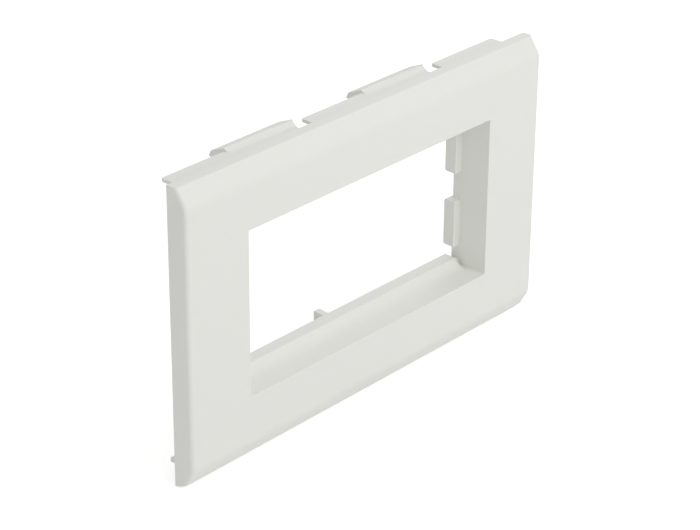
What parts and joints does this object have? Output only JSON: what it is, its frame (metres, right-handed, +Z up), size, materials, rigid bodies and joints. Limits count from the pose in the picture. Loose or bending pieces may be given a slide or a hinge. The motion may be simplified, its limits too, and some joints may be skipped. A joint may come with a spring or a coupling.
{
  "type": "keystone module holder",
  "caption": "Flat rectangular cover frame with bevelled long edges, a window that holds keystone jack modules side by side, and snap hooks at the rear for cable trunking.",
  "frame": {"origin": "centre of the module window on the plane of the front face", "axes": "+X along the long side, to the right when facing the front; +Y back into the trunking, away from the front face; +Z up"},
  "size_m": [0.132, 0.0172, 0.0817],
  "materials": {
    "white_plastic": "satin, smooth moulded"
  },
  "bodies": {
    "root": {"module_frame": "white_plastic"}
  },
  "joints": []
}
